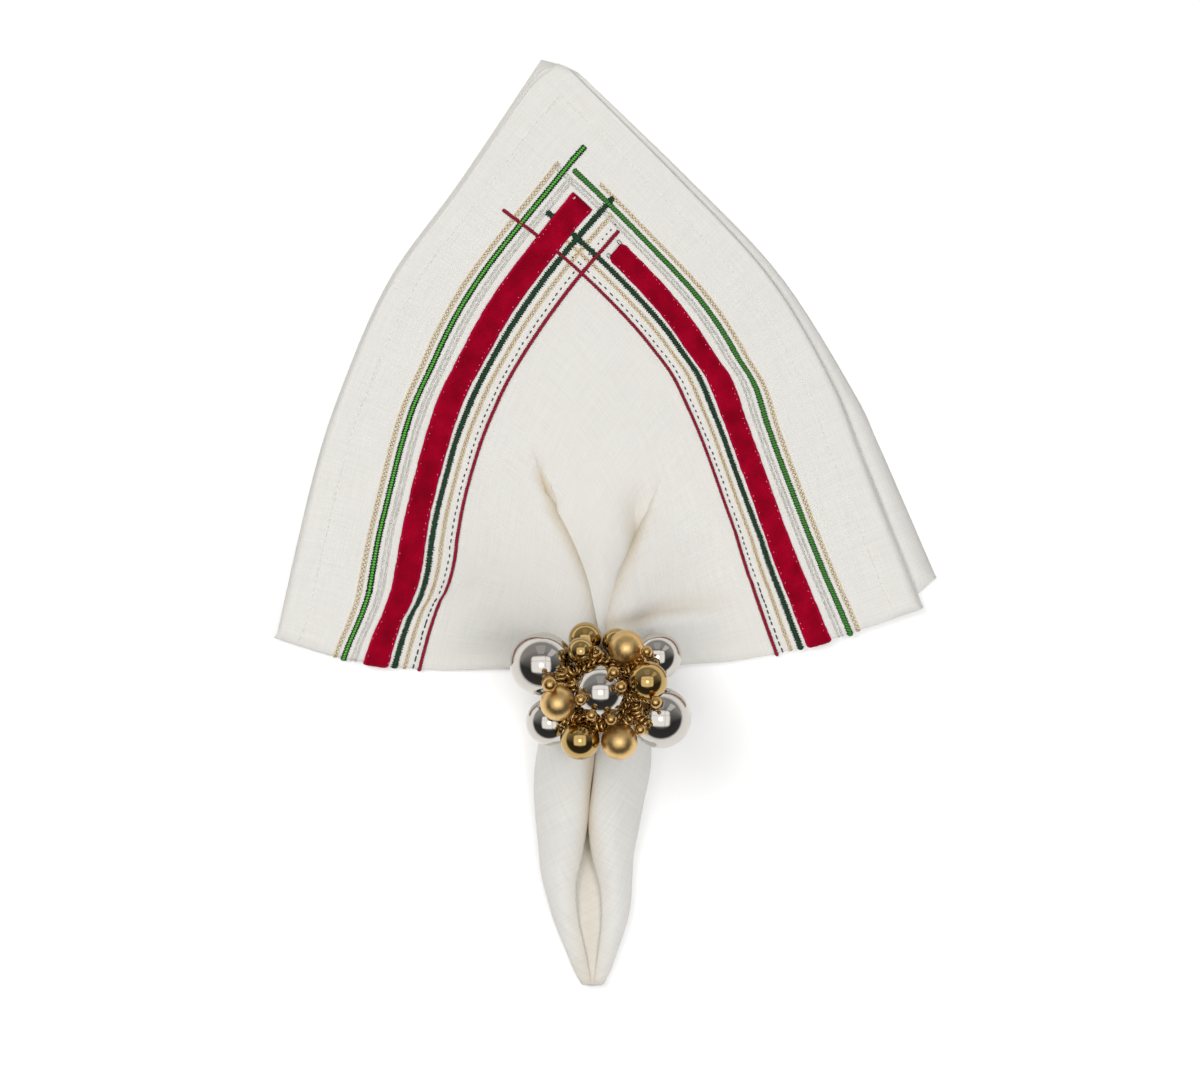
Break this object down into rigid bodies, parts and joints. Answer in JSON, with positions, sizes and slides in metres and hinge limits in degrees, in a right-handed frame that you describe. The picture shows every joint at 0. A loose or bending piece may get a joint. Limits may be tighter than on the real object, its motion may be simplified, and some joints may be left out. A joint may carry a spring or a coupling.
{
  "type": "cloth napkin in a ring",
  "caption": "Square linen napkin folded in quarters and drawn through a metal ring topped with a cluster of silver and gold balls, its hemmed corner spread flat as a fan.",
  "frame": {"origin": "centre of the whole part's footprint, at the table's height", "axes": "+Z up from the table, +Y from the ring towards the hemmed corner of the fan, +X to the right seen from above with +Y up"},
  "size_m": [0.264, 0.3702, 0.0725],
  "materials": {
    "linen": "matt woven",
    "velvet": "velvet pile",
    "ring_metal": "satin",
    "silver": "mirror",
    "gold": "mirror",
    "matte_gold": "satin"
  },
  "bodies": {
    "root": {"napkin": "linen", "ribbon_left": "velvet", "ribbon_right": "velvet", "ring": "ring_metal", "ball_silver_centre": "silver", "ball_silver_upper_left": "silver", "ball_silver_upper_right": "silver", "ball_silver_lower_left": "silver", "ball_silver_lower_right": "silver", "ball_gold_top": "gold", "ball_gold_top_front": "gold", "ball_gold_top_right": "gold", "ball_gold_right": "gold", "ball_gold_bottom": "gold", "ball_matte_top": "matte_gold", "ball_matte_left": "matte_gold", "ball_matte_bottom": "matte_gold", "bead_1": "gold", "bead_2": "gold", "bead_3": "gold", "bead_4": "gold", "bead_5": "gold", "bead_6": "gold", "bead_7": "gold", "bead_8": "gold", "bead_9": "silver", "bead_10": "gold"}
  },
  "joints": []
}
